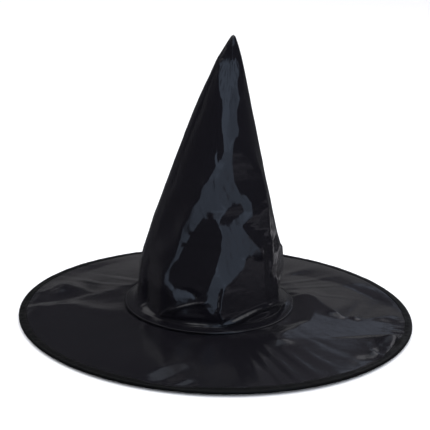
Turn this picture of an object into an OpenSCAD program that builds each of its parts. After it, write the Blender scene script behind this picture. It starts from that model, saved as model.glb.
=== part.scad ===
// Wired satin witch hat: a soft cone on a round brim, standing on its rim.
// Frame: millimetres, +Z up, the front towards -Y, the origin on the floor at the brim's centre.

/* [Brim] */
// Outer diameter of the brim, over its binding
brim_d = 420; // [390:5:450]
// Height that the brim climbs from its rim to the head opening
brim_rise = 9.5; // [5:0.5:14]
// Radius of the hole that is cut in the brim for the head
hole_r = 88; // [84:0.5:92]

/* [Crown] */
// Height of the tip above the floor
hat_h = 298; // [270:2:320]
// Radius that the cone's line reaches at the brim
cone_r = 88; // [84:0.5:92]
// How full the cone stays towards its tip: 1 is a straight cone
cone_power = 0.82; // [0.75:0.01:1]
// Radius of the tucked-in stretch of wall above the flared hem
waist_r = 79; // [76:0.5:82]
// Radius of the hem where it is sewn to the brim
hem_r = 90.5; // [89.5:0.5:94]
// Height of the flared hem above the brim
flare_h = 13.5; // [10:0.5:18]
// Radius of the rounded tip
tip_r = 2.2; // [1.5:0.1:3]
// Sideways place of the crown's base, as it was sewn in
base_x = -6; // [-8:0.5:2]
// Sideways place of the tip, which leans
tip_x = 8.6; // [-4:0.2:14]

/* [Cloth] */
// Thickness of the satin
satin_t = 0.3; // [0.2:0.05:0.4]
// Thickness of the brim's stiffener
brim_stiff_t = 1.4; // [1:0.1:1.8]
// Thickness of the crown's stiffener
crown_stiff_t = 0.8; // [0.5:0.1:1]
// Thickness of the folded binding and of the headline tape
tape_t = 0.8; // [0.6:0.1:1]
// Gap that is left between two layers of cloth
layer_gap = 0.1; // [0.05:0.05:0.2]

/* [Rim] */
// Diameter of the hoop wire
wire_d = 1.6; // [1.4:0.1:1.8]
// Gap between the two ends of the wire
wire_gap = 2; // [1:0.5:4]
// Length of the sleeve that is crimped over the wire's ends
sleeve_len = 24; // [16:1:32]
// Wall of the crimped sleeve
sleeve_wall = 0.25; // [0.2:0.05:0.3]
// Width of the binding on each face of the brim
binding_w = 8; // [7:0.5:10]

/* [Headline] */
// Height of the tape around the head opening
tape_h = 6.5; // [5:0.5:7]
// Diameter of the sewing thread
thread_d = 0.35; // [0.25:0.05:0.4]

/* [Hidden] */

$fn = 120;
black_satin = [0.05, 0.05, 0.07];
black_tape = [0.08, 0.08, 0.1];
grey_stiffener = [0.3, 0.3, 0.31];
black_thread = [0.12, 0.12, 0.14];
bare_steel = [0.62, 0.63, 0.65];

brim_r = brim_d / 2;
stack_t = 2 * satin_t + 2 * layer_gap + brim_stiff_t;
binding_t = stack_t + 2 * layer_gap + 2 * tape_t;
edge_round = 1.2; // width of the binding's rounded outer corners
brim_slope = brim_rise / (brim_r - hole_r);
rim_mid_z = binding_t / 2 - brim_slope * edge_round;
wire_r = brim_r - tape_t - layer_gap - wire_d / 2 - sleeve_wall;
brim_cut_r = wire_r - wire_d / 2 - sleeve_wall - layer_gap;
tape_r = hole_r - layer_gap - tape_t;

crown_sides = 48;
crown_rings = 14;
flare_rings = 4;
hem_z = mid_z(hem_r) + stack_t / 2 + layer_gap;
flare_top_z = hem_z + flare_h;
tape_top_z = hem_z + 0.9; // just under the flare
stiffener_z = hem_z + 4; // lower edge of the crown's stiffener
stiffener_tip_gap = 12; // the stiffener stops this far short of the satin's tip
lean_power = 2.2; // above 1, the lean grows towards the tip
back = 90; // direction of the crown's back seam, in degrees

// Height of the middle of the brim's layers at a distance r from the brim's centre.
function mid_z(r) = rim_mid_z + brim_slope * (brim_r - r);

// How far up the crown a height is: 0 at the hem, 1 at the tip.
function climb(z) = (z - hem_z) / (hat_h - hem_z);

// Sideways place of the crown's axis at a height.
function axis_x(z) = base_x + (tip_x - base_x) * pow(max(0, climb(z)), lean_power);

// Outer radius of the crown at a height: a full cone, a tucked-in wall and a flared hem.
function cone_line(z) = cone_r * pow(max(0, 1 - climb(z)), cone_power);
function flare(z) = (hem_r - waist_r) * pow(max(0, (flare_top_z - z) / flare_h), 2);
function crown_r(z) = min(cone_line(z), waist_r) + flare(z);

// A ring of points around the crown at a height, moved in by a depth.
function ring(z, depth) = [for (i = [0:crown_sides - 1])
    let (a = 360 * i / crown_sides, r = max(crown_r(z) - depth, tip_r / 4))
    [axis_x(z) + r * cos(a), r * sin(a), z]];

// The lowest ring of the satin follows the brim's slope.
function hem_ring(depth) = [for (p = ring(hem_z, depth))
    [p[0], p[1], mid_z(norm([p[0], p[1]])) + stack_t / 2 + layer_gap]];

// Heights from a lower edge to an upper one, closer together in the flare and near the tip.
function heights(low, high) = concat(
    [for (i = [1:flare_rings]) low + (flare_top_z - low) * i / flare_rings],
    [for (i = [1:crown_rings]) flare_top_z + (high - flare_top_z) * sin(90 * i / crown_rings)]);

// Closes a row of rings into one solid, with a cap at each end.
module shell(rings) {
    n = crown_sides;
    count = len(rings);
    sides = [for (j = [0:count - 2]) for (i = [0:n - 1])
        let (a = j * n + i, b = j * n + (i + 1) % n)
        each [[a, a + n, b + n], [a, b + n, b]]];
    caps = [[for (i = [0:n - 1]) i], [for (i = [n - 1:-1:0]) (count - 1) * n + i]];
    polyhedron(points = [for (r = rings) each r], faces = concat(sides, caps));
}

// One cloth layer of the brim, with the head's hole cut through it.
module brim_layer(low, thick, outer_r) {
    difference() {
        rotate_extrude()
            polygon([[0, mid_z(0) + low], [outer_r, mid_z(outer_r) + low],
                [outer_r, mid_z(outer_r) + low + thick], [0, mid_z(0) + low + thick]]);
        translate([base_x, 0, 0])
            cylinder(r = hole_r, h = hat_h);
    }
}

// A ring of thread around an axis at x, at a radius and height.
module thread_ring(x, r, z) {
    translate([x, 0, z])
        rotate_extrude()
            translate([r, 0])
                circle(d = thread_d, $fn = 16);
}

module crown_cover() {
    top = hat_h;
    inner_top = top - 4 * satin_t;
    outer = [for (z = heights(hem_z, top - tip_r / 2)) ring(z, 0)];
    inner = [for (z = heights(hem_z, inner_top - tip_r / 2)) ring(z, satin_t)];
    count = len(inner);
    tip = [for (p = ring(top - tip_r / 2, 0)) [axis_x(top) + (p[0] - axis_x(top)) / 2, p[1] / 2, top]];
    color(black_satin)
        shell(concat([for (j = [0:count - 1]) inner[count - 1 - j]],
            [hem_ring(satin_t), hem_ring(0)], outer, [tip]));
}

module crown_interlining() {
    out_depth = satin_t + layer_gap;
    in_depth = out_depth + crown_stiff_t;
    top = hat_h - stiffener_tip_gap;
    outer = [for (z = heights(stiffener_z, top)) ring(z, out_depth)];
    inner = [for (z = heights(stiffener_z, top - 2 * crown_stiff_t)) ring(z, in_depth)];
    count = len(inner);
    color(grey_stiffener)
        shell(concat([for (j = [0:count - 1]) inner[count - 1 - j]],
            [ring(stiffener_z, in_depth), ring(stiffener_z, out_depth)], outer));
}

// The back seam's stitching: short lengths of thread laid end to end up the inside.
module crown_seam_thread() {
    depth = satin_t + layer_gap + crown_stiff_t + thread_d / 2 + layer_gap;
    low = stiffener_z + crown_stiff_t;
    high = hat_h - 3 * stiffener_tip_gap;
    steps = 12;
    points = [for (i = [0:steps])
        let (z = low + (high - low) * i / steps)
        [axis_x(z), (crown_r(z) - depth) * sin(back), z]];
    color(black_thread)
        for (i = [0:steps - 1]) {
            run = points[i + 1] - points[i];
            translate(points[i])
                rotate([0, acos(run[2] / norm(run)), atan2(run[1], run[0])])
                    cylinder(d = thread_d, h = norm(run) - thread_d, $fn = 16);
        }
}

module brim_top_cover() {
    color(black_satin)
        brim_layer(stack_t / 2 - satin_t, satin_t, brim_cut_r);
}

module brim_interlining() {
    color(grey_stiffener)
        brim_layer(-brim_stiff_t / 2, brim_stiff_t, brim_cut_r);
}

module brim_under_cover() {
    color(black_satin)
        brim_layer(-stack_t / 2, satin_t, brim_cut_r);
}

// The hoop is one wire, bent round until its ends nearly meet at the back.
module brim_hoop_wire() {
    gap_angle = wire_gap / wire_r * 180 / PI;
    color(bare_steel)
        translate([0, 0, mid_z(wire_r)])
            rotate([0, 0, back + gap_angle / 2])
                rotate_extrude(angle = 360 - gap_angle)
                    translate([wire_r, 0])
                        circle(d = wire_d, $fn = 32);
}

module hoop_joint_sleeve() {
    sleeve_angle = sleeve_len / wire_r * 180 / PI;
    color(bare_steel)
        translate([0, 0, mid_z(wire_r)])
            rotate([0, 0, back - sleeve_angle / 2])
                rotate_extrude(angle = sleeve_angle)
                    translate([wire_r, 0])
                        difference() {
                            circle(d = wire_d + 2 * sleeve_wall, $fn = 32);
                            circle(d = wire_d, $fn = 32);
                        }
}

// A folded strip, closed round the wire and over both faces of the brim.
module edge_binding() {
    open_r = brim_r - binding_w;
    round_r = brim_r - edge_round;
    fold_r = brim_r - tape_t;
    out_h = binding_t / 2;
    in_h = out_h - tape_t;
    color(black_tape)
        rotate_extrude()
            polygon([[open_r, mid_z(open_r) - out_h], [round_r, mid_z(round_r) - out_h],
                [brim_r, mid_z(brim_r) - in_h], [brim_r, mid_z(brim_r) + in_h],
                [round_r, mid_z(round_r) + out_h], [open_r, mid_z(open_r) + out_h],
                [open_r, mid_z(open_r) + in_h], [fold_r, mid_z(fold_r) + in_h],
                [fold_r, mid_z(fold_r) - in_h], [open_r, mid_z(open_r) - in_h]]);
}

module edge_binding_thread() {
    stitch_in = 1.5; // from the binding's inner edge
    r = brim_r - binding_w + stitch_in;
    rise = binding_t / 2 + thread_d / 2 + layer_gap / 2;
    color(black_thread) {
        thread_ring(0, r, mid_z(r) + rise);
        thread_ring(0, r, mid_z(r) - rise);
    }
}

// The tape that is folded over the raw edge inside the head opening.
module headline_tape() {
    color(black_tape)
        translate([base_x, 0, tape_top_z - tape_h])
            difference() {
                cylinder(r = tape_r + tape_t, h = tape_h);
                translate([0, 0, -1])
                    cylinder(r = tape_r, h = tape_h + 2);
            }
}

module headline_tape_thread() {
    stitch_up = 1.2; // from the tape's lower edge
    color(black_thread)
        thread_ring(base_x, tape_r + tape_t + thread_d / 2 + layer_gap / 2, tape_top_z - tape_h + stitch_up);
}

// The stitching that holds the flared hem down on the brim.
module hem_thread() {
    z = hem_z + 2.5;
    color(black_thread)
        thread_ring(axis_x(z), crown_r(z - thread_d) + thread_d / 2 + layer_gap, z);
}

crown_cover();
crown_interlining();
crown_seam_thread();
brim_top_cover();
brim_interlining();
brim_under_cover();
brim_hoop_wire();
hoop_joint_sleeve();
edge_binding();
edge_binding_thread();
headline_tape();
headline_tape_thread();
hem_thread();
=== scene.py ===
import math

import bpy
import numpy as np
from mathutils import Matrix, Vector


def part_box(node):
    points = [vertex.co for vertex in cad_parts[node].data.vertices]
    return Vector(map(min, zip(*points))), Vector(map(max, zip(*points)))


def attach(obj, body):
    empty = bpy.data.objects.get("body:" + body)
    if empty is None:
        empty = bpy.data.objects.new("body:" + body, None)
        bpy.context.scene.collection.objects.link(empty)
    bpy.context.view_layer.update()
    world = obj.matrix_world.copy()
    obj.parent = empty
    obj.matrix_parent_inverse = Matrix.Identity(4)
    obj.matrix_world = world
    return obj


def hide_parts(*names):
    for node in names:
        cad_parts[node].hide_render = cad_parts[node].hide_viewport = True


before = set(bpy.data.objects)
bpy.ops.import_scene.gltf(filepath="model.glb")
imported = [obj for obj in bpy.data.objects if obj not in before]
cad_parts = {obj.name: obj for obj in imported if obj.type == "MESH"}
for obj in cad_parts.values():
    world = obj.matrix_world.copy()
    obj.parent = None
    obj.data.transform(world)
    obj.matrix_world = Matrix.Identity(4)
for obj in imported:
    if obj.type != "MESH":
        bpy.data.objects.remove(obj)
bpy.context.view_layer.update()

# Lengths are in millimetres until a mesh is made. Angles go round the hat in degrees:
# 0 is the front, 90 the hat's right side as the camera sees it, 180 the back seam.
MM = 0.001
BACK = 180.0


# -------- sizes, from the frame

def box_mm(node):
    """The lowest and highest corners of a CAD node, in millimetres."""
    low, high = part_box(node)
    return np.array(low) / MM, np.array(high) / MM


rim_low, rim_high = box_mm("edge_binding")
crown_low, crown_high = box_mm("crown_cover")
tape_low, tape_high = box_mm("headline_tape")
stiff_low, stiff_high = box_mm("brim_interlining")
wire_low, wire_high = box_mm("brim_hoop_wire")
_, lining_high = box_mm("crown_interlining")
crown_points = np.array([v.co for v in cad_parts["crown_cover"].data.vertices]) / MM

SATIN_T = 0.3
BRIM_STIFF_T = 1.4
CROWN_STIFF_T = 0.8
TAPE_T = 0.8
THREAD_T = 0.35
LAYER_GAP = 0.1

BRIM_R = (rim_high[0] - rim_low[0]) / 2
CUT_R = (stiff_high[0] - stiff_low[0]) / 2
TAPE_R = (tape_high[0] - tape_low[0]) / 2
HOLE_R = TAPE_R + LAYER_GAP
BASE_X = (tape_high[0] + tape_low[0]) / 2
TIP_Z = crown_high[2]
TIP_X = crown_points[crown_points[:, 2] > TIP_Z - 0.5][:, 0].mean()
HEM_R = (crown_high[0] - crown_low[0]) / 2
WIRE_R = (wire_high[2] - wire_low[2]) / 2
HOOP_R = (wire_high[0] - wire_low[0]) / 2 - WIRE_R

edge_mid_z = stiff_low[2] + BRIM_STIFF_T / 2
hole_mid_z = stiff_high[2] - BRIM_STIFF_T / 2
BRIM_SLOPE = (hole_mid_z - edge_mid_z) / (CUT_R - HOLE_R + abs(BASE_X))
STACK_T = 2 * SATIN_T + 2 * LAYER_GAP + BRIM_STIFF_T
BINDING_T = STACK_T + 2 * LAYER_GAP + 2 * TAPE_T
BINDING_W = 8.0


# -------- shared fields and points

def smooth(t):
    """0 below 0, 1 above 1, and an even S between."""
    t = np.clip(t, 0, 1)
    return t * t * (3 - 2 * t)


def around(a, b):
    """How far round the hat angle a is from angle b, from -180 to 180 degrees."""
    return (a - b + 180) % 360 - 180


def between(grid, row, col, ease=lambda t: t):
    """The value between a grid's points. Its last row and column are followed by its first."""
    rows, cols = grid.shape
    row, col = np.broadcast_arrays(row, col)
    j, i = np.floor(row).astype(int), np.floor(col).astype(int)
    u, v = ease(col - i), ease(row - j)
    i0, i1, j0, j1 = i % cols, (i + 1) % cols, j % rows, (j + 1) % rows
    low = grid[j0, i0] * (1 - u) + grid[j0, i1] * u
    high = grid[j1, i0] * (1 - u) + grid[j1, i1] * u
    return low * (1 - v) + high * v


def noise(seed, angle, height, count, step):
    """A smooth random field from -1 to 1, with count cells round the hat and cells step mm tall."""
    rows, below = 64, 8
    lattice = np.random.default_rng(seed).uniform(-1, 1, (rows, count))
    return between(lattice, height / step + below, angle / 360 * count, smooth)


def points_from(x, y, z):
    """Points from numbers or arrays that fit together."""
    return np.stack(np.broadcast_arrays(x, y, z), -1)


def polar(angle, r, z, middle_x=0.0):
    """Points round an upright line, r away from it."""
    a = np.radians(angle)
    return points_from(middle_x + r * np.sin(a), -r * np.cos(a), z)


def ring_angles(count):
    """Even steps round the hat, as a row."""
    return np.linspace(-BACK, BACK, count, endpoint=False)[None, :]


def front_angles(t, amount):
    """Angles round the hat for t from -1 to 1, closer together in front."""
    return BACK * (t - amount * np.sin(np.pi * t))


def inside(outline, angle, reach):
    """Which points lie inside a closed outline of (angle, height or distance) points."""
    found = np.zeros(np.broadcast(angle, reach).shape, bool)
    for (a0, z0), (a1, z1) in zip(outline, outline[1:] + outline[:1]):
        if z0 != z1:
            crossed = (z0 > reach) != (z1 > reach)
            found ^= crossed & (angle < a0 + (reach - z0) * (a1 - a0) / (z1 - z0))
    return found


def held_by(panels, angle, reach):
    """Which panel holds each place, 0 for none. A later panel lies over an earlier one."""
    held = np.zeros(angle.shape, int)
    for number, panel in enumerate(panels, 1):
        held[inside(panel[-1], angle, reach)] = number
    return held


# -------- the brim's surface

# The wire hoop isn't quite flat: (times round, height, angle of the first crest). It isn't quite
# round either, and lies closer in on its left and, from BACK_INSET_FROM degrees on, at the back.
HOOP_WARPS = [(1, 0.8, 0.0), (3, 0.2, 20.0)]
HOOP_INSET, BACK_INSET = 0.9, 2.6
BACK_INSET_FROM, BACK_INSET_FADE = 95, 45
FLOOR_GAP = 0.3
# The length that noise runs over along the brim, and the height of the brim's slow wave
BRIM_SPAN, BRIM_WAVE = 120, 1.1
# Heights of the fine puckers near the rim, of the gathers by the crown and of the loose waves
PUCKER_H, GATHER_H, LOOSE_H = 0.35, 0.5, 0.35
# Long soft drag folds: (angle, half width, height, where along the brim: 0 hem, 1 rim, how long)
BRIM_FOLDS = [
    (-141, 5, 1.2, 0.35, 0.5), (-124, 2.5, 0.6, 0.35, 0.5), (-114, 2, 0.5, 0.5, 0.4),
    (-160, 6, 0.8, 0.5, 0.5), (-78, 4, 0.4, 0.8, 0.3), (-50, 6, 0.4, 0.3, 0.4), (-38, 5, 0.5, 0.55, 0.4),
    (-27, 4, 0.6, 0.7, 0.3), (-3, 3, 0.5, 0.75, 0.3), (8, 2.5, 0.6, 0.7, 0.4), (14, 2, 0.9, 0.6, 0.4),
    (19, 1.6, 0.7, 0.7, 0.4), (24, 1.8, 1.0, 0.65, 0.5), (30, 2.0, 0.9, 0.7, 0.4),
    (37, 2.4, 0.6, 0.75, 0.4), (46, 2.5, 0.5, 0.7, 0.4), (118, 2.2, 0.6, 0.5, 0.5),
    (128, 2.0, 0.5, 0.4, 0.5), (140, 3, 0.8, 0.5, 0.5), (152, 3, 0.6, 0.4, 0.4), (165, 6, 0.8, 0.5, 0.5),
    (103, 2.0, 0.5, 0.35, 0.4),
]
# Short sharp puckers where the satin is caught under the binding: (angle, half width, height)
RIM_PUCKERS = [
    (55, 0.9, 0.7), (61, 0.7, 0.9), (67, 0.8, 1.1), (71, 0.6, 0.9), (75, 0.8, 1.2), (79, 0.6, 0.8),
    (84, 0.8, 0.7), (-84, 0.8, 0.5), (-97, 0.7, 0.5), (-12, 0.8, 0.5),
]


def plain_cone(x, y):
    """Height of the middle of the brim's layers if the brim were a plain cone."""
    return edge_mid_z + BRIM_SLOPE * (CUT_R - np.hypot(x, y))


def hoop_wave(angle):
    return sum(h * np.cos(np.radians(n * (angle - at))) for n, h, at in HOOP_WARPS)


def hoop_lift(angle):
    """How far the hoop rises off its flat plane, never below it."""
    return hoop_wave(angle) - hoop_wave(np.linspace(-180, 180, 721)).min()


def hoop_inset(angle):
    back = smooth((np.abs(around(angle, 0)) - BACK_INSET_FROM) / BACK_INSET_FADE)
    return HOOP_INSET * (1 - np.sin(np.radians(angle))) + BACK_INSET * back


def brim_plan(angle, share):
    """Plan position on the brim: share 0 is the hole's edge and 1 is the cut edge under the binding."""
    a = np.radians(angle)
    r = HOLE_R + (CUT_R - HOLE_R) * share - hoop_inset(angle) * share**2
    x = BASE_X * (1 - np.clip(share, 0, 1)) + r * np.sin(a)
    return x, -r * np.cos(a)


def brim_cone(angle, share):
    """Height of the middle of the brim's layers before its panels settle."""
    lift = hoop_lift(angle) * smooth(share)
    wave = BRIM_WAVE * noise(31, angle, share * BRIM_SPAN, 9, 60) * np.sin(np.pi * np.clip(share, 0, 1))
    return plain_cone(*brim_plan(angle, share)) + lift + wave


def brim_folds(angle, share):
    """The satin's own folds over the stiffener, which only stand up from it."""
    reach = share * BRIM_SPAN
    out = np.zeros(np.broadcast(angle, share).shape)
    for at, width, height, middle, length in BRIM_FOLDS:
        away = around(angle, at) / width
        along = (share - middle) / length
        out += height * np.exp(-away**2) * np.exp(-along**2 * 2)
    for at, width, height in RIM_PUCKERS:
        spread = width * (1 + 3 * np.clip(1 - share, 0, 1))
        out += height * np.exp(-(around(angle, at) / spread) ** 2) * smooth((share - 0.78) / 0.15)
    pucker = 0.55 + 0.45 * noise(7, angle, reach, 130, 30)
    out += PUCKER_H * pucker * smooth((share - 0.72) / 0.25)
    gather = 0.5 + 0.5 * noise(8, angle, reach, 72, 60)
    out += GATHER_H * gather * smooth((0.3 - share) / 0.25)
    out += LOOSE_H * (0.5 + 0.5 * noise(9, angle + share * 25, reach, 34, 30))
    return out * smooth(share / 0.04) * smooth((1 - share) / 0.05)


# Panels of the brim: where they send the camera's view, as ranges of how far right of straight back
# and how far up in degrees, and their outlines of (angle, distance from the middle). Only the
# FROM_BACK_LIGHTS ones keep the view out of their ranges.
TO_HORIZON, TO_RIGHT_WINDOW, TO_OVERHEAD = ((-12, 40), (3, 13)), ((14, 32), (19, 23)), ((-20, 20), (56, 68))
FROM_BACK_LIGHTS = ((-22, 50), (-1, 27))
BRIM_PANELS = [
    (*FROM_BACK_LIGHTS, [(-60, 90), (-84, 150), (-84, 206), (-60, 206), (0, 206), (40, 206), (64, 206),
        (66, 178), (54, 146), (36, 126), (30, 90), (0, 90)]),
    (*FROM_BACK_LIGHTS, [(-98, 144), (-90, 168), (-88, 206), (-96, 206), (-104, 178), (-101, 150)]),
    (*TO_HORIZON, [(-150, 96), (-148, 178), (-118, 180), (-113, 142), (-104, 122), (-118, 98)]),
    (*TO_HORIZON, [(-98, 197), (-109, 174), (-101, 138), (-103, 116), (-106, 116), (-104, 140),
        (-112, 176), (-100, 199)]),
    (*TO_HORIZON, [(-84, 199), (-87, 164), (-94, 141), (-98, 125), (-100, 127), (-96, 143),
        (-89, 166), (-86, 200)]),
    (*TO_HORIZON, [(142, 112), (138, 138), (120, 162), (104, 180), (90, 199), (82, 165), (79, 130),
        (98, 105), (125, 108)]),
    (*FROM_BACK_LIGHTS, [(108, 88), (104, 104), (90, 116), (76, 112), (64, 106), (50, 94), (50, 88),
        (80, 86)]),
    (*TO_RIGHT_WINDOW, [(30, 122), (42, 112), (55, 108), (74, 110), (78, 145), (82, 185), (76, 199),
        (67, 168), (57, 143), (42, 127)]),
    (*TO_OVERHEAD, [(-18, 188), (-16, 175), (-10, 160), (-8, 164), (-13, 188), (-15, 203)]),
    (*TO_OVERHEAD, [(-11, 203), (-7, 187), (-6, 189), (-9, 204)]),
    (*TO_OVERHEAD, [(66, 196), (60, 202), (52, 200), (50, 194), (58, 198), (64, 190)]),
]
# The camera's place, to a tenth of a millimetre
EYE = np.array([-3.2, -1149.6, 452.9])
# The square grid that the brim settles on: points along a side, and half a side in mm
BRIM_GRID, BRIM_HALF = 320, 216.0
BRIM_STEP = 2 * BRIM_HALF / BRIM_GRID


def push_out(across, up, ways, up_ways, here):
    """Moves each pair of angles that is inside both ranges to the nearest edge of them."""
    gaps = np.stack([across - ways[0], ways[1] - across, up - up_ways[0], up_ways[1] - up])
    nearest = np.where(here & (gaps.min(0) > 0), gaps.argmin(0), -1)
    for side in (0, 1):
        across = np.where(nearest == side, ways[side], across)
        up = np.where(nearest == side + 2, up_ways[side], up)
    return across, up


def turn_panels(panels, held, across, up):
    """Turns each place just as far as its panel asks."""
    for number, (ways, up_ways, _) in enumerate(panels, 1):
        here = held == number
        if (ways, up_ways) == FROM_BACK_LIGHTS:
            across, up = push_out(across, up, ways, up_ways, here)
        else:
            across = np.where(here, np.clip(across, *ways), across)
            up = np.where(here, np.clip(up, *up_ways), up)
    return across, up


def sent_view(slope_x, slope_y, to_eye):
    """Where a surface with these slopes sends the camera's view: across and up, in degrees."""
    normal = np.stack([-slope_x, -slope_y, np.ones(slope_x.shape)], -1)
    normal /= np.linalg.norm(normal, axis=-1, keepdims=True)
    sent = 2 * (normal * to_eye).sum(-1, keepdims=True) * normal - to_eye
    return np.degrees(np.arctan2(sent[..., 0], sent[..., 1])), np.degrees(np.arcsin(sent[..., 2]))


def slopes_to_send(across, up, to_eye):
    """The slopes of a surface that sends the camera's view across and up by these angles."""
    a, e = np.radians(across), np.radians(up)
    middle = to_eye + np.stack([np.sin(a) * np.cos(e), np.cos(a) * np.cos(e), np.sin(e)], -1)
    return -middle[..., 0] / middle[..., 2], -middle[..., 1] / middle[..., 2]


def settle_brim():
    """Bends the brim, a little at a time, until its panels send the view where they should."""
    rounds, steepest, push, soften = 40, 0.5, 1.3, 0.8
    broad, hold_broad, hold_all = 30.0, 0.0006, 0.00005
    axis = -BRIM_HALF + BRIM_STEP * np.arange(BRIM_GRID)
    x, y = np.meshgrid(axis, axis)
    r = np.hypot(x, y)
    angle = np.degrees(np.arctan2(x, -y))
    share = np.clip((np.hypot(x - BASE_X, y) - HOLE_R) / (CUT_R - HOLE_R), 0, 1)
    height = brim_cone(angle, share) + brim_folds(angle, share)
    near_angle = angle + 1.2 * noise(33, angle, r, 60, 8)
    held = held_by(BRIM_PANELS, near_angle, r + 1.5 * noise(34, angle, r, 70, 8))
    base_y, base_x = np.gradient(height, BRIM_STEP)
    to_eye = EYE - np.stack([x, y, height], -1)
    to_eye /= np.linalg.norm(to_eye, axis=-1, keepdims=True)
    turns_y = 2 * np.pi * np.fft.fftfreq(BRIM_GRID, BRIM_STEP)[:, None]
    turns_x = 2 * np.pi * np.fft.rfftfreq(BRIM_GRID, BRIM_STEP)[None, :]
    size = turns_y**2 + turns_x**2
    soft = np.exp(-size * soften**2 / 2)
    hold = hold_broad * np.exp(-size * broad**2) + hold_all
    bend_x, bend_y = np.zeros(r.shape), np.zeros(r.shape)
    for _ in range(rounds):
        across, up = sent_view(bend_x + base_x, bend_y + base_y, to_eye)
        want_x, want_y = slopes_to_send(*turn_panels(BRIM_PANELS, held, across, up), to_eye)
        new_x = np.clip(bend_x + push * (want_x - base_x - bend_x), -steepest, steepest)
        new_y = np.clip(bend_y + push * (want_y - base_y - bend_y), -steepest, steepest)
        relief = -1j * (turns_x * np.fft.rfft2(new_x) + turns_y * np.fft.rfft2(new_y)) / (size + hold) * soft
        bend_x = np.fft.irfft2(1j * turns_x * relief, r.shape)
        bend_y = np.fft.irfft2(1j * turns_y * relief, r.shape)
    return np.fft.irfft2(relief, r.shape)


BRIM_BEND = settle_brim()


def brim_bend(angle, share):
    """How far the settled brim stands off its plain cone, which it meets at its hole and its rim."""
    x, y = brim_plan(angle, share)
    bend = between(BRIM_BEND, (y + BRIM_HALF) / BRIM_STEP, (x + BRIM_HALF) / BRIM_STEP)
    bend = bend * smooth(share / 0.08) * smooth((1 - share) / 0.06)
    lowest = FLOOR_GAP - (brim_cone(angle, share) - STACK_T / 2)
    return np.where(bend < lowest / 2, lowest - lowest / 2 * np.exp(1 - 2 * bend / lowest), bend)


def brim_mid(angle, share):
    """Height of the middle of the brim's layers."""
    return brim_cone(angle, share) + brim_bend(angle, share)


# -------- the crown's surface

CONE_R, CONE_POWER = 88.0, 0.82
WAIST_R = 79.0
FLARE_H = 13.5
SHOULDER_H, SHOULDER_POWER, BEAD_R = 1.4, 1.5, 0.9
TIP_ROUND = 2.0
LEAN_POWER = 2.2
SETTLE = 1.0
HEM_Z = plain_cone(HEM_R, 0) + STACK_T / 2 + LAYER_GAP
SHOULDER_Z = HEM_Z + 2 * BEAD_R
CONE_SLANT = math.hypot(TIP_Z - HEM_Z, CONE_R)

# The crumpled panels of the stiffened cloth, which creases divide: (the ways a panel may face round
# the hat, the ways it may face upwards, outline of (angle, height)).
TO_WINDOW = (4, 21), (9, 31)
LEFT_WALL, RIGHT_WALL, SUNK = (-66, -7), (30, 95), (-45, -8)
CROWN_PANELS = [
    (LEFT_WALL, (-2, 34), [(-76, 18), (-76, 150), (-76, 288), (10, 288), (10, 18)]),
    (RIGHT_WALL, (5, 25), [(10, 19), (10, 288), (70, 288), (70, 28), (45, 30), (28, 25)]),
    (*TO_WINDOW, [(6, 186), (4, 196), (0, 210), (-3, 224), (-8, 237), (-18, 246), (-30, 260),
        (-45, 273), (38, 275), (44, 262), (32, 252), (36, 236), (27, 226), (30, 208), (28, 202), (20, 195),
        (19, 186)]),
    (*TO_WINDOW, [(6, 187), (2, 180), (-6, 171), (-10, 162), (-17, 152), (-17, 142), (-23, 134),
        (-25, 124), (-28, 112), (-29, 100), (-32, 84), (-34, 76), (-36, 66), (-35, 58), (-30, 50),
        (-24, 46), (-28, 54), (-32, 60), (-33, 68), (-31, 76), (-28, 84), (-24, 98), (-21, 108), (-14, 118),
        (-5, 124), (1, 120), (3, 110), (24, 110), (42, 122), (42, 136), (37, 140), (29, 146), (23, 155),
        (19, 169), (19, 187)]),
    (SUNK, (-6, 34), [(-4, 122), (3, 120), (10, 106), (10, 92), (7, 80), (5, 68), (2, 54), (-5, 44),
        (-13, 48), (-19, 52), (-25, 52), (-30, 60), (-31, 70), (-27, 84), (-22, 100), (-20, 108),
        (-13, 117)]),
    (*TO_WINDOW, [(-6, 190), (-1, 176), (-4, 172)]),
    (*TO_WINDOW, [(1, 120), (6, 110), (8, 104), (8, 92), (5, 80), (3, 68), (0, 58), (-3, 48),
        (-9, 42), (-16, 34), (-9, 30), (-3, 35), (2, 28), (5, 34), (7, 49), (12, 58), (21, 65), (27, 70),
        (30, 80), (34, 84), (44, 80), (48, 83), (41, 94), (35, 102), (32, 107), (25, 117), (12, 118)]),
    (*TO_WINDOW, [(-29, 52), (-20, 51), (-13, 47), (-8, 40), (-5, 42), (-6, 34), (-12, 28),
        (-17, 26), (-24, 24), (-33, 18), (-36, 21), (-27, 29), (-24, 38)]),
    ((28, 50), (11, 34), [(4, 116), (7, 125), (15, 133), (23, 136), (31, 133), (35, 127), (26, 121),
        (12, 116)]),
    ((33, 56), (8, 14), [(33, 81), (58, 73), (66, 51), (66, 29), (46, 30), (30, 25), (12, 19), (6, 31),
        (9, 49), (21, 64)]),
    ((62, 96), (18, 30), [(62, 80), (70, 92), (104, 92), (104, 79), (80, 76)]),
    ((64, 76), (0, 5), [(79, 80), (94, 76), (94, 56), (79, 48), (65, 52), (56, 59), (57, 68), (66, 68)]),
    ((118, 132), (12, 24), [(112, 40), (110, 120), (125, 180), (140, 150), (146, 90), (138, 40)]),
    ((144, 158), (16, 30), [(148, 30), (146, 100), (150, 170), (172, 160), (174, 60), (165, 30)]),
    ((150, 165), (6, 16), [(130, 190), (136, 262), (174, 262), (172, 190)]),
    ((-136, -120), (10, 20), [(-144, 30), (-152, 90), (-135, 150), (-114, 130), (-112, 50)]),
    ((-162, -148), (18, 32), [(-174, 40), (-174, 130), (-150, 150), (-150, 90), (-148, 40)]),
    ((-160, -140), (6, 16), [(-173, 160), (-172, 240), (-132, 224), (-138, 168)]),
]
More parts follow.
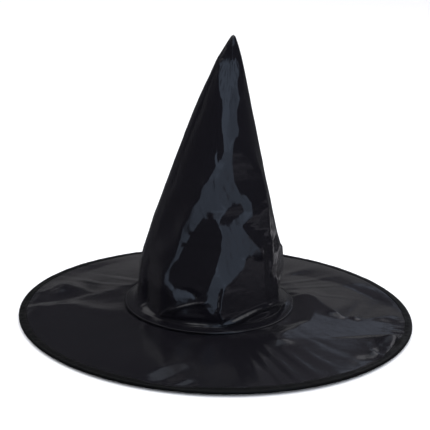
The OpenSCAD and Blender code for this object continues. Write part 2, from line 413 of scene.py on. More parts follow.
# Dents: (angle, height, half width, half height, turn in degrees, depth, edge: 1 crisp, 2 soft)
CROWN_DENTS = [
    (96, 34, 42, 15, 0, 5.0, 2), (140, 60, 24, 28, 20, 1.6, 1), (-140, 70, 22, 32, -18, 1.6, 1),
    (-90, 40, 32, 14, 6, 2.0, 2),
]
# The hem reaches furthest out at the front.
HEM_HELD_IN, HEM_FRONT_REACH = 1.3, 4.0
# The wall sags over its hem in a roll: its height over the shoulder, how far it stands out, and how
# far it fades out above and below. It climbs on the crown's right.
ROLL_H, ROLL_OUT, ROLL_ABOVE, ROLL_BELOW = 1.4, 3.2, 2.4, 3.0
ROLL_CLIMB, CLIMB_AT, CLIMB_WIDTH = 12.0, 50, 50
# A pinched tuck climbs from the roll at the front left.
TUCK_ANGLES, TUCK_HEIGHTS = (-40, -34, -30, -18, -7, 0), (17, 24, 29, 35, 39, 41)
TUCK_OUT, TUCK_WIDTH, TUCK_FADE = 2.2, 1.7, 6


def climb(z):
    return np.clip((z - HEM_Z) / (TIP_Z - HEM_Z), 0, 1)


def axis_x(z):
    """The crown's leaning middle line, which the settled cloth moves a little to the right."""
    bow = np.sin(np.pi * climb(z)) + smooth((climb(z) - 0.75) / 0.25)
    return BASE_X + (TIP_X - BASE_X) * climb(z) ** LEAN_POWER + SETTLE * bow


def flare(z):
    """How far the foot of the smooth crown spreads."""
    return (HEM_R - WAIST_R) * np.clip((HEM_Z + FLARE_H - z) / FLARE_H, 0, 1.2) ** 2


def crown_radius(z):
    """Outer radius of the smooth crown: full cone, tucked wall and flared hem, closed by a round tip."""
    blunt, blend = 1.8, 3.0
    below = np.maximum(TIP_Z - z, 0)
    line = CONE_R * ((below + blunt) / (TIP_Z - HEM_Z + blunt)) ** CONE_POWER
    line = line * np.sqrt(1 - np.clip(1 - below / TIP_ROUND, 0, 1) ** 2)
    wall = -blend * np.log(np.exp(-line / blend) + np.exp(-WAIST_R / blend))
    wall = np.where(line < WAIST_R / 2, line, wall) - SETTLE * np.sin(np.pi * climb(z))
    return wall + flare(z)


def on_crown(angle, z, at_angle, at_z):
    """Distances in mm from a place on the crown, round it and up it."""
    r = np.maximum(crown_radius(z), 1.0)
    return np.radians(around(angle, at_angle)) * r, z - at_z


def held_on_crown(angle, z):
    """Which panel holds each place on the crown. The panels' edges are slightly uneven."""
    off_mm = 1.2 * noise(5, angle, z, 60, 9) + 0.4 * noise(15, angle, z, 150, 3.5)
    near_angle = angle + np.degrees(off_mm / crown_radius(z))
    near_z = z + 1.0 * noise(6, angle, z, 60, 8) + 0.5 * noise(16, angle, z, 150, 3.5)
    return held_by(CROWN_PANELS, near_angle, near_z)


def dent(angle, z, at_angle, at_z, half_w, half_h, turn, depth, edge):
    across, up = on_crown(angle, z, at_angle, at_z)
    c, s = math.cos(math.radians(turn)), math.sin(math.radians(turn))
    p, q = (across * c + up * s) / half_w, (up * c - across * s) / half_h
    return -depth * np.clip(1 - p * p - q * q, 0, 1) ** edge


def base_relief(angle, z):
    """The crown's soft dents and waves, before its panels settle."""
    out = np.zeros(np.broadcast(angle, z).shape)
    for row in CROWN_DENTS:
        out += dent(angle, z, *row)
    soft = noise(1, angle + 0.1 * z, z, 14, 46) * 0.5 + noise(2, angle - 0.15 * z, z, 28, 22) * 0.2
    sharp = (1 - np.abs(noise(3, angle + 0.3 * z, z, 22, 30))) ** 6 * 0.25
    fade = smooth((z - HEM_Z) / 12) * smooth((1 - climb(z)) / 0.12)
    return out + (soft + sharp) * fade


def hem_reach(angle):
    return HEM_R - HEM_HELD_IN + HEM_FRONT_REACH * np.clip(np.cos(np.radians(angle)), 0, 1) ** 2


def roll_height(angle):
    climbed = ROLL_CLIMB * smooth(1 - np.abs(around(angle, CLIMB_AT)) / CLIMB_WIDTH)
    return SHOULDER_Z + ROLL_H + climbed + 0.5 * noise(12, angle, 0 * angle, 16, 99)


def hem_roll(angle, z):
    """How far the roll over the hem and the tuck stand out."""
    amount = 1 + 0.25 * noise(11, angle, z, 18, 60)
    below = np.maximum(roll_height(angle) - z, 0)
    above = np.maximum(z - roll_height(angle), 0)
    tuck_z = np.interp(angle, TUCK_ANGLES, TUCK_HEIGHTS)
    tuck = smooth((angle - TUCK_ANGLES[0]) / TUCK_FADE) * smooth((TUCK_ANGLES[-1] - angle) / TUCK_FADE)
    tuck = TUCK_OUT * tuck * np.exp(-((z - tuck_z) / TUCK_WIDTH) ** 2)
    return ROLL_OUT * amount * np.exp(-(above / ROLL_ABOVE) ** 2 - (below / ROLL_BELOW) ** 2) + tuck


def hem_relief(angle, z):
    """The crown's foot under the roll, which spreads flat on the brim."""
    shoulder = np.clip((SHOULDER_Z + SHOULDER_H - z) / SHOULDER_H, 0, 1) ** SHOULDER_POWER
    spread = (hem_reach(angle) - BEAD_R - WAIST_R) * shoulder
    pucker = 0.3 * noise(13, angle + 0.8 * z, z * 0.2, 110, 6) * np.exp(-((z - HEM_Z - 3) / 5.0) ** 2)
    return spread - flare(z) + pucker * (1 - shoulder)


def relief_from(round_slope, up_slope, r, step_z):
    """The relief on a grid whose slopes come closest to the ones given. It is 0 past both ends, and
    neither widens the crown nor moves its middle."""
    broad, hold_broad, hold_fine = 4, 0.0006, 0.00002
    rows, cols = round_slope.shape
    turns = np.fft.rfftfreq(cols, 1 / cols)[None, :]
    wanted = -np.fft.rfft(round_slope, axis=1) * 1j * turns / r
    up = np.fft.rfft(up_slope, axis=1) / step_z
    wanted += up[:-1] - up[1:]
    links = 1 / step_z**2
    main = (turns / r) ** 2 + np.where(turns <= broad, hold_broad, hold_fine) + 2 * links
    for k in range(1, rows):
        share = links / main[k - 1]
        main[k] -= share * links
        wanted[k] += share * wanted[k - 1]
    relief = np.zeros_like(wanted)
    relief[-1] = wanted[-1] / main[-1]
    for k in range(rows - 2, -1, -1):
        relief[k] = (wanted[k] + links * relief[k + 1]) / main[k]
    relief[:, :2] = 0
    return np.fft.irfft(relief, cols, axis=1)


def slopes(relief, r, step_z):
    """A grid's slopes round the crown, and up it from each row to the next, past both ends too."""
    two_steps = 2 * np.radians(360 / relief.shape[1]) * r
    round_slope = (np.roll(relief, -1, 1) - np.roll(relief, 1, 1)) / two_steps
    up_slope = np.diff(np.pad(relief, ((1, 1), (0, 0))), axis=0) / step_z
    return round_slope, up_slope


def slant(degrees):
    """The slope of a surface that is turned by an angle."""
    return np.tan(np.radians(np.clip(degrees, -60, 60)))


def fine_creases(held, angle, z):
    """The small creases in the panels that face the window."""
    window_panels = [n for n, panel in enumerate(CROWN_PANELS, 1) if panel[:2] == TO_WINDOW]
    lit = np.isin(held, window_panels).astype(float)
    for _ in range(3):
        lit = (lit + np.roll(lit, 2, 1) + np.roll(lit, -2, 1)) / 3
    sharp = (1 - np.abs(noise(18, angle + 0.4 * z, z, 40, 12))) ** 5
    return lit * (0.09 * noise(17, angle, z, 64, 6.5) + 0.12 * sharp)


def settle_panels():
    """Bends the crown's cloth until its panels face the ways that they may. What a round can't reach
    is carried on to the next one, so that small panels count beside large ones."""
    cols, rows, rounds, steepest = 720, 320, 110, 0.9
    angle = np.arange(cols)[None, :] / cols * 360 - 180
    z = np.linspace(HEM_Z + 2, TIP_Z - 3, rows)[:, None]
    step_z = z[1, 0] - z[0, 0]
    r = crown_radius(z)
    lean = axis_x(z + 0.5) - axis_x(z - 0.5)
    wall = (crown_radius(z - 0.5) - crown_radius(z + 0.5)) - lean * np.sin(np.radians(angle))
    held = held_on_crown(angle, z)
    base_round, base_up = slopes(base_relief(angle, z) + hem_relief(angle, z), r, step_z)
    bend = np.zeros(held.shape)
    # The cloth gives less at both sides, where it makes the hat's outline.
    give = 1 - 0.3 * smooth((np.abs(angle) - 62) / 18) * smooth((126 - np.abs(angle)) / 16)
    round_slope, up_slope = slopes(bend, r, step_z)
    unmet_round, unmet_up = np.zeros(round_slope.shape), np.zeros(up_slope.shape)
    for _ in range(rounds):
        try_round, try_up = round_slope - unmet_round, up_slope - unmet_up
        up_mid = (try_up[1:] + try_up[:-1] + base_up[1:] + base_up[:-1]) / 2
        faces = angle - np.degrees(np.arctan(try_round + base_round))
        tilts = np.degrees(np.arctan(wall - up_mid))
        new_faces, new_tilts = turn_panels(CROWN_PANELS, held, faces, tilts)
        turned = slant(angle - new_faces) - slant(angle - faces)
        tilted = np.pad(slant(tilts) - slant(new_tilts), ((1, 1), (0, 0)))
        want_round = np.clip(try_round + turned, -steepest, steepest)
        want_up = np.clip(try_up + (tilted[1:] + tilted[:-1]) / 2, -steepest, steepest)
        bend = relief_from(want_round + unmet_round, want_up + unmet_up, r, step_z) * give
        round_slope, up_slope = slopes(bend, r, step_z)
        unmet_round = np.clip(unmet_round + want_round - round_slope, -1, 1)
        unmet_up = np.clip(unmet_up + want_up - up_slope, -1, 1)
    return bend + fine_creases(held, angle, z), z[:, 0]


PANEL_RELIEF, PANEL_Z = settle_panels()


def settled(angle, z):
    """How far the settled panels stand out at any place. They fade out at the crown's shoulder."""
    rows, cols = PANEL_RELIEF.shape
    row = np.clip((z - PANEL_Z[0]) / (PANEL_Z[1] - PANEL_Z[0]) + 1, 0, rows + 0.999)
    col = (angle + 180) % 360 / 360 * cols
    relief = between(np.pad(PANEL_RELIEF, ((1, 1), (0, 0))), row, col)
    return relief * smooth((z - SHOULDER_Z - 1) / 9)


def seam_relief(angle, z):
    """The crown's back seam pulls in as a narrow groove, and the cloth puckers beside it."""
    across, _ = on_crown(angle, z, BACK, 0)
    groove = -0.8 * np.exp(-(across / 1.1) ** 2)
    pucker = 0.4 * noise(14, angle * 0 + np.sign(across) * 40, z, 9, 7) * np.exp(-(np.abs(across) / 9))
    return (groove + pucker) * smooth((z - HEM_Z) / 8) * smooth((1 - climb(z)) / 0.06)


def crown_point(angle, z, depth=0.0):
    """A point on the crown's cloth, depth below the satin's outer face."""
    relief = base_relief(angle, z) + settled(angle, z) + hem_relief(angle, z) + hem_roll(angle, z)
    relief = relief + seam_relief(angle, z)
    limit = 0.25 * crown_radius(z)
    r = np.maximum(crown_radius(z) + np.clip(relief, -limit, limit) - depth, 0.05)
    return polar(angle, r, z, axis_x(z))


# -------- mesh making

def new_object(name, data):
    made = bpy.data.objects.new(name, data)
    bpy.context.scene.collection.objects.link(made)
    return made


def new_piece(name, points, faces, material, node, flat_cut=None):
    """Makes a smooth mesh piece from points in mm that stands for a CAD node."""
    mesh = bpy.data.meshes.new(name)
    mesh.from_pydata((np.asarray(points).reshape(-1, 3) * MM).tolist(), [], faces)
    mesh.polygons.foreach_set("use_smooth", np.ones(len(mesh.polygons), bool))
    if flat_cut is not None:
        cut = mesh.attributes.new("flat_cut", "FLOAT_VECTOR", "POINT")
        cut.data.foreach_set("vector", (np.asarray(flat_cut).reshape(-1, 3) * MM).astype(np.float32).ravel())
    mesh.materials.append(material)
    mesh.validate()
    piece = new_object(name, mesh)
    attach(piece, "root")
    if node:
        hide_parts(node)
    return piece


def grid_faces(rows, cols, wrap_cols=True, wrap_rows=True):
    """Quads of a grid of points, rows by cols, which closes on itself both ways by default."""
    r = np.arange(rows if wrap_rows else rows - 1)
    c = np.arange(cols if wrap_cols else cols - 1)
    rr, cc = np.meshgrid(r, c, indexing="ij")
    nr, nc = (rr + 1) % rows, (cc + 1) % cols
    quads = np.stack([rr * cols + cc, rr * cols + nc, nr * cols + nc, nr * cols + cc], -1)
    return quads.reshape(-1, 4).tolist()


def rod_faces(rings, sides):
    """Faces of a rod with closed ends, from rings of sides points."""
    ends = [list(range(sides))[::-1], [(rings - 1) * sides + i for i in range(sides)]]
    return grid_faces(rings, sides, wrap_rows=False) + ends


def section_turn(sides):
    """The directions round a rod's section, in radians."""
    return np.linspace(0, 2 * np.pi, sides, endpoint=False)


def sector_cut(angle, z):
    """Where a point of the crown lies on the flat sector that the cone is cut from."""
    from_tip = (TIP_Z - z) * CONE_SLANT / (TIP_Z - HEM_Z)
    turn = np.radians(angle) * CONE_R / CONE_SLANT
    return points_from(from_tip * np.sin(turn), from_tip * np.cos(turn), 0.0)


# -------- materials

def node_material(name):
    material = bpy.data.materials.new(name)
    material.use_nodes = True
    tree = material.node_tree
    return material, tree, tree.nodes["Principled BSDF"]


def wire(tree, node, settings):
    """Sets a node's inputs and properties, and links the inputs that are given an output."""
    for key, value in settings.items():
        if isinstance(value, bpy.types.NodeSocket):
            tree.links.new(value, node.inputs[key])
        elif key in node.inputs:
            node.inputs[key].default_value = value
        else:
            setattr(node, key, value)
    return node


def add(tree, kind, **settings):
    return wire(tree, tree.nodes.new(kind), settings)


def pattern(tree, place, **settings):
    """The values of a noise texture over the given places."""
    return add(tree, "ShaderNodeTexNoise", Vector=place, **settings).outputs["Fac"]


def shade(tree, values, colour, dark, pale):
    """A colour that a pattern varies between a dark and a pale share of it."""
    ends = [(*[c * share for c in colour], 1) for share in (dark, pale)]
    mix = add(tree, "ShaderNodeMix", data_type="RGBA", Factor=values, A=ends[0], B=ends[1])
    return mix.outputs["Result"]


def vary(tree, values, low, high):
    """A number that a pattern varies between two others."""
    spread = tree.nodes.new("ShaderNodeMapRange")
    return wire(tree, spread, {"Value": values, "To Min": low, "To Max": high}).outputs["Result"]


def bump(tree, values, strength, distance, **under):
    """A surface that a pattern raises, over another bump if one is given."""
    raised = add(tree, "ShaderNodeBump", Height=values, Strength=strength, Distance=distance, **under)
    return raised.outputs["Normal"]


def satin_material(name, colour, roughness, gloss):
    """Black polyester satin: long floats that run one way, faint slubs and soft crumple marks."""
    material, tree, shader = node_material(name)
    place = add(tree, "ShaderNodeAttribute", attribute_name="flat_cut").outputs["Vector"]
    drawn_out = add(tree, "ShaderNodeMapping", Vector=place, Scale=(2600.0, 160.0, 1.0)).outputs["Vector"]
    floats = pattern(tree, drawn_out, Scale=1.0, Detail=2.0, Roughness=0.5)
    crumple = pattern(tree, place, Scale=70.0, Detail=4.0, Roughness=0.55, Distortion=0.6)
    tint = pattern(tree, place, Scale=14.0, Detail=3.0)
    weave = bump(tree, floats, 0.25, 0.00004)
    wire(tree, shader, {"IOR": 1.5, "Specular IOR Level": gloss, "Sheen Weight": 0.02, "Sheen Roughness": 0.4,
        "Base Color": shade(tree, tint, colour, 0.8, 1.3),
        "Roughness": vary(tree, crumple, roughness - 0.03, roughness + 0.05),
        "Normal": bump(tree, crumple, 0.35, 0.0006, Normal=weave)})
    return material


def matte_cloth(name, colour, roughness, scale, depth):
    """Non-woven felt or thread: matted fibres at a given scale."""
    material, tree, shader = node_material(name)
    place = add(tree, "ShaderNodeTexCoord").outputs["Object"]
    fibre = pattern(tree, place, Scale=scale, Detail=6.0, Roughness=0.65, Distortion=1.2)
    blotch = pattern(tree, place, Scale=scale / 18, Detail=2.0)
    both = add(tree, "ShaderNodeMath", operation="MULTIPLY")
    tree.links.new(fibre, both.inputs[0])
    tree.links.new(blotch, both.inputs[1])
    wire(tree, shader, {"Base Color": shade(tree, both.outputs["Value"], colour, 0.5, 2.2),
        "Roughness": vary(tree, fibre, roughness - 0.1, min(roughness + 0.1, 1)),
        "Normal": bump(tree, fibre, 0.5, depth)})
    return material


def metal_material(name, colour, roughness):
    """Drawn steel or crimped aluminium: fine streaks and a little dulling."""
    material, tree, shader = node_material(name)
    place = add(tree, "ShaderNodeTexCoord").outputs["Object"]
    streak = pattern(tree, place, Scale=900.0, Detail=4.0, Distortion=2.0)
    wire(tree, shader, {"Metallic": 1.0, "Base Color": shade(tree, streak, colour, 0.7, 1.0),
        "Roughness": vary(tree, streak, roughness - 0.1, roughness + 0.15),
        "Normal": bump(tree, streak, 0.3, 0.00003)})
    return material


SATIN = satin_material("black_satin", (0.0036, 0.0033, 0.0050), 0.16, 0.5)
BINDING = satin_material("black_binding", (0.0018, 0.0019, 0.0021), 0.4, 0.12)
LINING = matte_cloth("black_non_woven", (0.03, 0.03, 0.032), 0.85, 500.0, 0.0002)
THREAD = matte_cloth("black_thread", (0.012, 0.012, 0.014), 0.5, 3000.0, 0.00004)
STEEL = metal_material("drawn_steel", (0.5, 0.5, 0.52), 0.35)
ALLOY = metal_material("crimped_alloy", (0.7, 0.7, 0.72), 0.4)


# -------- the crown

def hem_rows(angle):
    """The hem from its raw edge on the brim, out to its rounded fold and up over it."""
    turned_under = [(-1.5, 0.0), (-0.9, 0.0), (-0.4, 0.0)]
    fold = [(BEAD_R * math.sin(t), BEAD_R * (1 - math.cos(t))) for t in np.linspace(0, np.pi, 9)[:-1]]
    rows = []
    for out, up in turned_under + fold:
        row = polar(angle, hem_reach(angle) - BEAD_R + out, 0.0, BASE_X)
        sag = plain_cone(row[..., 0], row[..., 1]) + STACK_T / 2 + LAYER_GAP - HEM_Z
        row[..., 2] = HEM_Z + sag * (1 - up / (2 * BEAD_R)) + up
        rows.append(row)
    return np.concatenate(rows)


def make_crown_cover():
    """The satin cone, with its hem turned under on the brim and its rows closer together at the foot."""
    cols, rows, shoulder_rows, hem_row_step = 385, 242, 8, 0.5
    angle = front_angles(np.linspace(-1, 1, cols)[None, :], 0.12)
    shoulder = SHOULDER_Z + SHOULDER_H * np.linspace(0, 1, shoulder_rows, endpoint=False)
    v = np.linspace(0, 1, rows)
    v = v - 0.08 * np.sin(2 * np.pi * v) / (2 * np.pi) - 0.06 * np.sin(np.pi * v)
    wall = SHOULDER_Z + SHOULDER_H + (TIP_Z - SHOULDER_Z - SHOULDER_H) * v
    z = np.minimum(np.concatenate([shoulder, wall]), TIP_Z - 0.01)[:, None]
    hem = hem_rows(angle)
    points = np.concatenate([hem, crown_point(angle, z)])
    cut_z = np.concatenate([HEM_Z - hem_row_step * np.arange(len(hem))[::-1, None], z])
    faces = grid_faces(len(points), cols, wrap_cols=False, wrap_rows=False)
    piece = new_piece("satin_crown", points, faces, SATIN, "crown_cover", sector_cut(angle, cut_z))


def make_crown_stiffener():
    """The stiff cone inside the satin, with the same dents."""
    cols, rows, depth = 192, 130, SATIN_T + LAYER_GAP
    angle = ring_angles(cols)
    foot, top = SHOULDER_Z + SHOULDER_H + 0.4, lining_high[2]
    v = np.linspace(0, 1, rows)[:, None]
    outer = crown_point(angle, foot + (top - foot) * v, depth)
    inner = crown_point(angle, foot + (top - 2 * CROWN_STIFF_T - foot) * v, depth + CROWN_STIFF_T)
    points = np.concatenate([outer, inner[::-1]])
    faces = grid_faces(2 * rows, cols)
    piece = new_piece("crown_stiffener", points, faces, LINING, "crown_interlining")


# -------- the brim

def brim_sheet(name, node, material, low, high, relief_sign, rows, cols):
    """One closed layer of the brim between two offsets from its middle. Relief sign 1 folds its upper
    face, -1 its lower one and 0 neither. The face opposite a folded one needs fewer rows."""
    fewer = 6
    angle = front_angles(np.linspace(-1, 1, cols, endpoint=False)[None, :], 0.08)
    share = np.linspace(0, 1, rows)[:, None]
    x, y = brim_plan(angle, share)
    mid = brim_mid(angle, share)
    folds = brim_folds(angle, share)
    upper = points_from(x, y, mid + high + (folds if relief_sign > 0 else 0))
    lower = points_from(x, y, mid + low - (folds * 0.5 if relief_sign < 0 else 0))
    if relief_sign > 0:
        lower = lower[::fewer]
    if relief_sign < 0:
        upper = upper[::fewer]
    points = np.concatenate([upper, lower[::-1]])
    faces = grid_faces(len(points), cols)
    piece = new_piece(name, points, faces, material, node, points * (1.0, 1.0, 0.0))


def make_brim():
    half, stiff = STACK_T / 2, BRIM_STIFF_T / 2
    brim_sheet("satin_brim_top", "brim_top_cover", SATIN, half - SATIN_T, half, 1, 118, 704)
    brim_sheet("brim_stiffener", "brim_interlining", LINING, -stiff, stiff, 0, 40, 256)
    brim_sheet("satin_brim_under", "brim_under_cover", SATIN, -half, SATIN_T - half, -1, 90, 480)


def ring_points(angle, r, z):
    """Points round the rim, which follow the hoop."""
    return polar(angle, r - hoop_inset(angle), z)


def hoop_rings(angle, phi, radius):
    """Rings of points round the hoop's wire, at a radius which may vary."""
    return ring_points(angle, HOOP_R + radius * np.cos(phi), brim_mid(angle, 1.0) + radius * np.sin(phi))


def make_hoop():
    """The wire, whose ends meet at the back, and the sleeve that is crimped over them."""
    end_gap, rings, sides = math.degrees(1.0 / HOOP_R), 721, 12
    angle = np.linspace(BACK + end_gap, BACK + 360 - end_gap, rings)[:, None]
    points = hoop_rings(angle, section_turn(sides)[None, :], WIRE_R)
    new_piece("hoop_wire", points, rod_faces(rings, sides), STEEL, "brim_hoop_wire")

    reach, rings, sides = math.degrees(12.0 / HOOP_R), 61, 16
    sleeve_t, play, crimp_depth = 0.25, 0.01, 0.12
    angle = np.linspace(BACK - reach, BACK + reach, rings)[:, None]
    phi = section_turn(sides)[None, :]
    crimp = crimp_depth * np.exp(-((np.abs(around(angle, BACK)) - reach * 0.5) / (reach * 0.12)) ** 2)
    outer = hoop_rings(angle, phi, WIRE_R + sleeve_t - crimp * np.abs(np.sin(phi)))
    inner = hoop_rings(angle, phi, WIRE_R + play)
    points = np.concatenate([outer, inner[::-1]])
    faces = grid_faces(2 * rings, sides)
    new_piece("wire_sleeve", points, faces, ALLOY, "hoop_joint_sleeve")


def binding_height(angle, inward):
    """Half the binding's height at a distance in from the rim, with its small diagonal puckers."""
    round_off = np.sqrt(np.clip(1 - (1 - np.clip(inward / 2.4, 0, 1)) ** 2, 0, 1))
    coarse = 0.22 * noise(21, angle + inward * 0.25, inward, 210, 30)
    fine = 0.12 * noise(22, angle - inward * 0.2, inward, 420, 30)
    body = BINDING_T / 2 - 0.15 * smooth((inward - 4) / 4)
    fade = smooth(inward / 2.0)
    return body * round_off + (coarse + fine) * fade * smooth((BINDING_W - inward) / 0.8 + 0.4)


def binding_z(angle, inward):
    """Height of the middle of the binding at a distance in from the rim."""
    return brim_mid(angle, (BRIM_R - inward - HOLE_R) / (CUT_R - HOLE_R))


def make_binding():
    """The folded strip round the rim: out on top, round the wire, back underneath, and its inside."""
    cols = 1440
    angle = ring_angles(cols)
    outside = np.array([8.0, 7.7, 7.2, 6.5, 5.5, 4.5, 3.5, 2.6, 1.9, 1.3, 0.8, 0.4, 0.12, 0.0])[:, None]
    cavity = np.array([0.9, 1.4, 2.4, 4.0, 6.0, 7.6])[:, None]
    half = binding_height(angle, outside)
    uneven = 0.15 * noise(23, angle, 0 * angle, 260, 30)
    r = BRIM_R - (outside + uneven * (outside > 6))
    top = ring_points(angle, r, binding_z(angle, outside) + half)
    bottom = ring_points(angle, r, binding_z(angle, outside) - half)[::-1][1:]
    half = np.minimum(BINDING_T / 2 - TAPE_T, 0.6 + cavity * 0.8)
    cavity_top = ring_points(angle, BRIM_R - cavity, binding_z(angle, cavity) + half)
    cavity_bottom = ring_points(angle, BRIM_R - cavity, binding_z(angle, cavity) - half)[::-1]
    points = np.concatenate([top, bottom, cavity_bottom, cavity_top])
    faces = grid_faces(len(points), cols)
    across = np.linspace(-1, 1, len(points))[:, None] * BINDING_W
    cut = points_from(across, np.radians(angle) * BRIM_R, 0.0)
    piece = new_piece("rim_binding", points, faces, BINDING, "edge_binding", cut)


# -------- tape and stitches

def make_head_tape():
    """The tape inside the head opening: a soft ring with a rolled lower edge."""
    cols = 360
    angle = ring_angles(cols)
    low, high = tape_low[2] - 0.25, tape_high[2] + 0.15
    section = [(0.0, 0.15), (0.0, 0.5), (0.0, 0.85), (0.25, 1.0), (0.7, 1.0), (0.8, 0.85), (0.8, 0.5),
        (0.8, 0.15), (0.7, 0.0), (0.25, 0.0)]
    rows = []
    for out, up in section:
        wave = 0.12 * (1 + noise(41, angle, 0 * angle, 90, 9)) * (1 if out > 0.5 else 0)
        r = TAPE_R - TAPE_T + out * TAPE_T + wave * 0.3
        rows.append(polar(angle, r, low + (high - low) * up, BASE_X))
    points = np.concatenate(rows)
    faces = grid_faces(len(rows), cols)
    across = np.array([out + high * up for out, up in section])[:, None]
    cut = points_from(across, np.radians(angle) * TAPE_R, 0.0)
    piece = new_piece("head_tape", points, faces, BINDING, "headline_tape", cut)


def stitches(name, node, starts, ends, ups):
    """A row of separate stitches: each a short arched thread whose ends go into the cloth."""
    sides, rings = 6, 5
    t = np.linspace(0, 1, rings)
    along = (ends - starts) / np.linalg.norm(ends - starts, axis=1, keepdims=True)
    across = np.cross(along, ups)
    across /= np.linalg.norm(across, axis=1, keepdims=True)
    arch = THREAD_T * (np.sin(np.pi * t) ** 0.5 * 0.9 - 0.45)
    swell = THREAD_T / 2 * (0.75 + 0.25 * np.sin(np.pi * t))
    phi = section_turn(sides)[None, None, :, None]
    centre = starts[:, None] + (ends - starts)[:, None] * t[:, None] + ups[:, None] * arch[:, None]
    ring = across[:, None, None] * np.cos(phi) + ups[:, None, None] * np.sin(phi)
    points = centre[:, :, None] + ring * swell[None, :, None, None]
    one = rod_faces(rings, sides)
    faces = [[i + k * rings * sides for i in face] for k in range(len(starts)) for face in one]
    new_piece(name, points, faces, THREAD, node)


def stitch_ring(name, node, place, pitch, gap, length_round, up_of):
    """Stitches round a ring: place(angle) gives points, up_of(angle) the way they face."""
    step = 360 / int(length_round / pitch)
    start = -BACK + step * np.arange(int(length_round / pitch))
    end = start + step * (1 - gap)
    stitches(name, node, place(start), place(end), up_of((start + end) / 2))


def make_stitching():
    rim_pitch, rim_gap, pitch, gap = 3.2, 0.22, 3.0, 0.25
    inward, hem_inward, tape_up = BINDING_W - 1.5, 1.3, 1.2

    def binding_line(side):
        def line(a):
            return ring_points(a, BRIM_R - inward, binding_z(a, inward) + side * binding_height(a, inward))

        return line

    def facing(side):
        return lambda a: points_from(0 * a, 0.0, side)

    def hem_line(a):
        span = hem_reach(a) - BEAD_R - WAIST_R
        down = (1 - hem_inward / span) ** (1 / SHOULDER_POWER)
        return crown_point(a, SHOULDER_Z + SHOULDER_H * (1 - down))

    def tape_line(a):
        return polar(a, TAPE_R + 0.05, tape_low[2] + tape_up, BASE_X)

    def outwards(a):
        return polar(a, 1.0, 0.0)

    round_rim = 2 * math.pi * (BRIM_R - inward)
    rim, hem, tape = "edge_binding_thread", "hem_thread", "headline_tape_thread"
    stitch_ring("rim_stitches_top", rim, binding_line(1), rim_pitch, rim_gap, round_rim, facing(1.0))
    stitch_ring("rim_stitches_under", rim, binding_line(-1), rim_pitch, rim_gap, round_rim, facing(-1.0))
    stitch_ring("hem_stitches", hem, hem_line, pitch, gap, 2 * math.pi * HEM_R, facing(1.0))
    stitch_ring("head_tape_stitches", tape, tape_line, pitch, gap, 2 * math.pi * TAPE_R, outwards)


def make_back_seam():
    """Inside the crown: the seam's two allowances, pressed open, and the stitching between them."""
    width, allowance_t, pitch, stitch = 8.0, 0.35, 3.0, 2.3
    depth = SATIN_T + LAYER_GAP + CROWN_STIFF_T
    low, high = SHOULDER_Z + SHOULDER_H + 2, lining_high[2] - 30
    z = np.linspace(low, high, 160)[:, None]
    across = np.array([-8.0, -6.0, -4.0, -2.0, -0.6, 0.6, 2.0, 4.0, 6.0, 8.0])[None, :] / width
    r = crown_radius(z)
    angle = BACK + across * np.degrees(np.minimum(width, r * 0.5) / r)
    curl = 0.9 * np.abs(across) * (0.5 + 0.5 * noise(51, across * 90, z, 8, 12))
    stand = 0.5 + curl - 0.4 * (np.abs(across) < 0.1)
    top_side = crown_point(angle, z, depth + stand + allowance_t)
    low_side = crown_point(angle, z, depth + stand)
    points = np.concatenate([top_side, low_side[:, ::-1]], axis=1)
    faces = grid_faces(len(z), points.shape[1], wrap_rows=False)
    piece = new_piece("back_seam_allowance", points, faces, LINING, None)

    def seam_line(z):
        return crown_point(np.full_like(z, BACK), z, depth + 1.3)

    start = low + pitch * np.arange(int((high - low) / pitch))
    ups = np.tile(np.array([0.0, -1.0, 0.0]), (len(start), 1))
    stitches("back_seam_stitches", "crown_seam_thread", seam_line(start), seam_line(start + stitch), ups)


make_crown_cover()
make_crown_stiffener()
make_brim()
make_hoop()
make_binding()
make_head_tape()
make_stitching()
make_back_seam()


# -------- camera, floor and light

# Soft boxes in metres and degrees: (name, azimuth: 0 the camera's side and 90 the right, elevation,
# distance, width, height, radiance, colour)
SOFTBOXES = [
    ("front_window", 24, 19.5, 2.4, 2.1, 2.8, 0.7, (0.68, 0.86, 1.15)),
    ("window_middle", 18, 30, 2.3, 0.9, 1.0, 0.3, (0.68, 0.86, 1.15)),
    ("top_front", 15, 66, 2.2, 2.4, 0.9, 1.0, (0.95, 0.97, 1.0)),
    ("overhead", 0, 89, 1.9, 2.0, 1.6, 0.8, (1.0, 1.0, 1.02)),
    ("top_back", 178, 62, 2.4, 2.2, 0.8, 0.5, (0.85, 0.95, 1.1)),
    ("top_left", -100, 53, 2.2, 2.4, 0.7, 0.6, (0.95, 0.95, 1.0)),
    ("top_right", 112, 50, 2.2, 1.6, 0.6, 0.5, (0.95, 0.95, 1.0)),
    ("back_wall", 158, 35, 2.6, 1.4, 0.8, 0.07, (1.0, 0.96, 1.12)),
    ("back_horizon", 168, 7, 2.6, 3.2, 0.66, 0.105, (1.0, 1.0, 1.0)),
    ("right_window", 156, 21, 2.6, 1.0, 0.26, 0.42, (0.8, 0.92, 1.15)),
    ("right_low", 72, -3, 2.0, 2.0, 0.4, 0.27, (1.0, 0.96, 1.1)),
    ("right_behind", 138, -14.5, 2.2, 1.0, 0.2, 0.45, (1.0, 0.98, 1.05)),
    ("high_right", 132, 37, 2.3, 1.7, 1.0, 0.8, (1.0, 1.0, 1.05)),
    ("high_left", -126, 38, 2.3, 1.6, 0.7, 0.65, (1.0, 1.0, 1.02)),
]


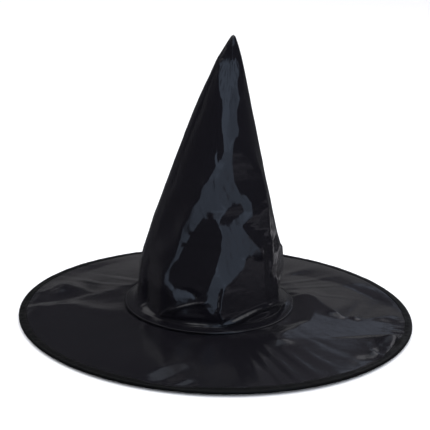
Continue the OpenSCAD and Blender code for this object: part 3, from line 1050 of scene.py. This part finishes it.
def make_camera():
    aim, distance = np.array([-0.00318, 0.0, 0.10882]), 1.2
    elevation, roll = math.radians(16.664), math.radians(1.802)
    data = bpy.data.cameras.new("camera")
    data.sensor_width, data.lens = 36.0, 95.72
    camera = new_object("camera", data)
    look = np.array([0.0, math.cos(elevation), -math.sin(elevation)])
    right = np.array([1.0, 0.0, 0.0])
    up = np.cross(right, look)
    x = math.cos(roll) * right + math.sin(roll) * up
    y = math.cos(roll) * up - math.sin(roll) * right
    place = aim - distance * look
    camera.matrix_world = Matrix([[x[i], y[i], -look[i], place[i]] for i in range(3)] + [[0, 0, 0, 1]])
    bpy.context.scene.camera = camera


def make_floor():
    """A wide pale floor, which the satin doesn't reflect."""
    mesh = bpy.data.meshes.new("floor")
    mesh.from_pydata([(-6, -6, 0), (6, -6, 0), (6, 6, 0), (-6, 6, 0)], [], [(0, 1, 2, 3)])
    floor = new_object("floor", mesh)
    material, _, shader = node_material("pale_floor")
    wire(material.node_tree, shader, {"Base Color": (0.93, 0.93, 0.94, 1), "Roughness": 0.9})
    mesh.materials.append(material)
    floor.visible_glossy = False


def softbox(name, azimuth, elevation, distance, width, height, radiance, colour):
    """A soft light that faces the hat."""
    a, e = math.radians(azimuth), math.radians(elevation)
    aim = Vector((0, 0, 0.13))
    place = aim + distance * Vector((math.sin(a) * math.cos(e), -math.cos(a) * math.cos(e), math.sin(e)))
    data = bpy.data.lights.new(name, "AREA")
    data.shape, data.size, data.size_y = "RECTANGLE", width, height
    data.energy = radiance * math.pi * width * height
    data.color = colour
    light = new_object(name, data)
    light.location = place
    light.rotation_euler = (aim - place).to_track_quat("-Z", "Y").to_euler()


def make_world():
    """White to the eye, and dark in reflections."""
    world = bpy.data.worlds.new("studio")
    world.use_nodes = True
    tree = world.node_tree
    tree.nodes.clear()
    rays = add(tree, "ShaderNodeLightPath")
    white = add(tree, "ShaderNodeBackground", Color=(1.08, 1.08, 1.09, 1))
    dark = add(tree, "ShaderNodeBackground", Color=(0.05, 0.05, 0.055, 1))
    mix = add(tree, "ShaderNodeMixShader")
    out = add(tree, "ShaderNodeOutputWorld")
    tree.links.new(rays.outputs["Is Glossy Ray"], mix.inputs[0])
    tree.links.new(white.outputs[0], mix.inputs[1])
    tree.links.new(dark.outputs[0], mix.inputs[2])
    tree.links.new(mix.outputs[0], out.inputs[0])
    bpy.context.scene.world = world


make_camera()
make_floor()
for row in SOFTBOXES:
    softbox(*row)
make_world()
bpy.context.scene.view_settings.view_transform = "Standard"
